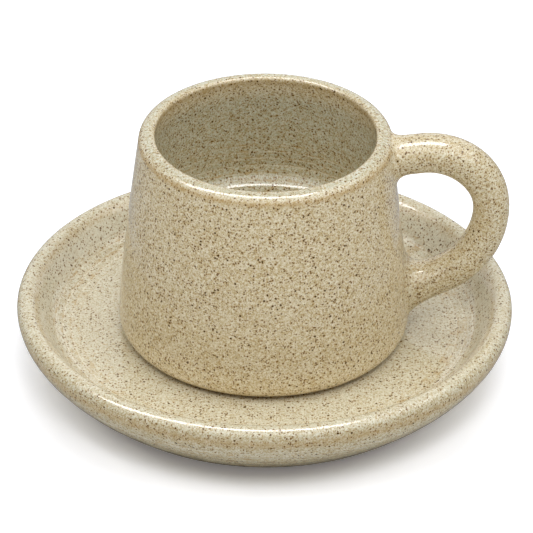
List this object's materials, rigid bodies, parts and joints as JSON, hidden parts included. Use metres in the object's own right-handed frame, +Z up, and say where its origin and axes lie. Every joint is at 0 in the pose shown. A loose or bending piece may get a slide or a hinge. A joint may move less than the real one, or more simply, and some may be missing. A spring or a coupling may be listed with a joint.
{
  "type": "espresso cup with saucer",
  "caption": "Stoneware espresso cup with a round loop handle, standing on a round saucer with a thick rolled rim; the cup lifts off.",
  "frame": {"origin": "on the axis of the saucer, at the table under its foot", "axes": "+Z up along the axis of the saucer and cup, +X towards the handle"},
  "size_m": [0.124, 0.124, 0.0686],
  "materials": {
    "speckled_glaze": "clear gloss glaze over cream stoneware with fine brown iron speckle",
    "bare_clay": "matt unglazed stoneware, warm buff with fine dark grains"
  },
  "bodies": {
    "saucer": {"saucer_dish": "speckled_glaze", "saucer_foot_ring": "bare_clay"},
    "cup": {"cup_body": "speckled_glaze", "cup_foot_ring": "bare_clay", "handle": "speckled_glaze", "upper_handle_join": "speckled_glaze", "lower_handle_join": "speckled_glaze"}
  },
  "joints": [
    {"name": "cup_lift", "type": "slide", "parent": "saucer", "child": "cup", "axis": [0, 0, 1], "range_m": [0, 0.08]}
  ]
}
